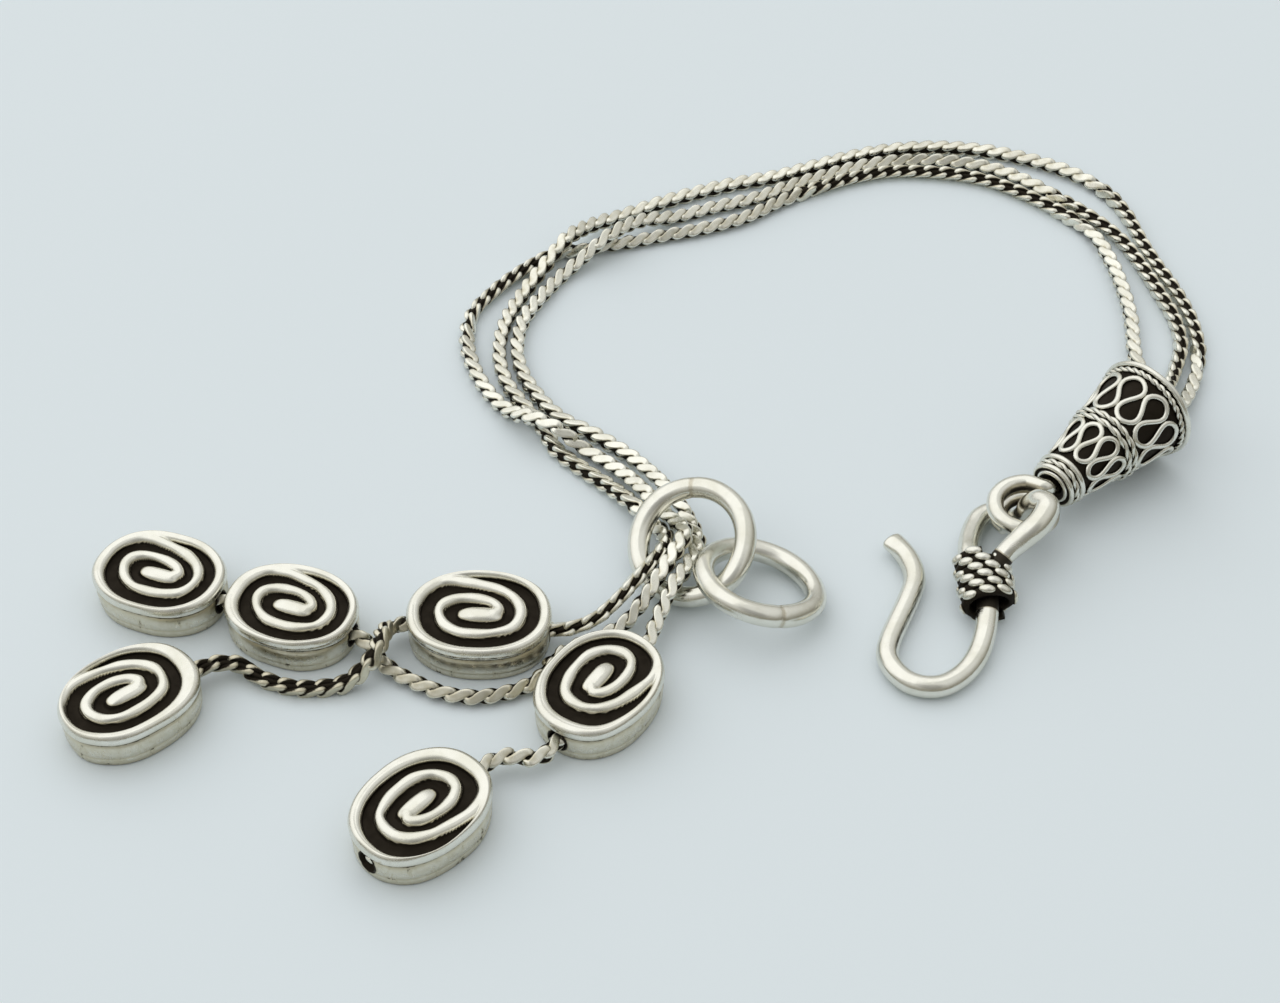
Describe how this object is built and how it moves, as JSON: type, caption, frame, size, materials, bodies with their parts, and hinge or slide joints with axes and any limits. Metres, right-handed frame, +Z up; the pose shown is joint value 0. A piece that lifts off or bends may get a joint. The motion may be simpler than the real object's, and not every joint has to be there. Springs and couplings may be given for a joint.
{
  "type": "charm bracelet",
  "caption": "Silver curb-chain bracelet lying open, with spiral oval beads on the chain ends, linked rings, a filigree end cone and a wire hook.",
  "frame": {"origin": "middle of the whole bracelet's box, on the surface that it lies on", "axes": "+Z up, +X towards the end cone and away from the beads, +Y towards the bend of the chains"},
  "size_m": [0.1062, 0.0994, 0.0103],
  "materials": {
    "bright_silver": "polished silver with light tarnish",
    "chain_silver": "polished silver links, dark between the links",
    "oxidised_silver": "polished silver relief on a blackened ground"
  },
  "bodies": {
    "root": {"strand_a": "chain_silver", "strand_b": "chain_silver", "strand_c": "chain_silver", "bead_1": "oxidised_silver", "bead_2": "oxidised_silver", "bead_3": "oxidised_silver", "bead_4": "oxidised_silver", "bead_5": "oxidised_silver", "bead_6": "oxidised_silver", "bundle_ring": "bright_silver", "link_ring": "bright_silver", "end_cone": "oxidised_silver", "cone_eye": "bright_silver", "hook": "bright_silver", "hook_wrap": "oxidised_silver"}
  },
  "joints": []
}
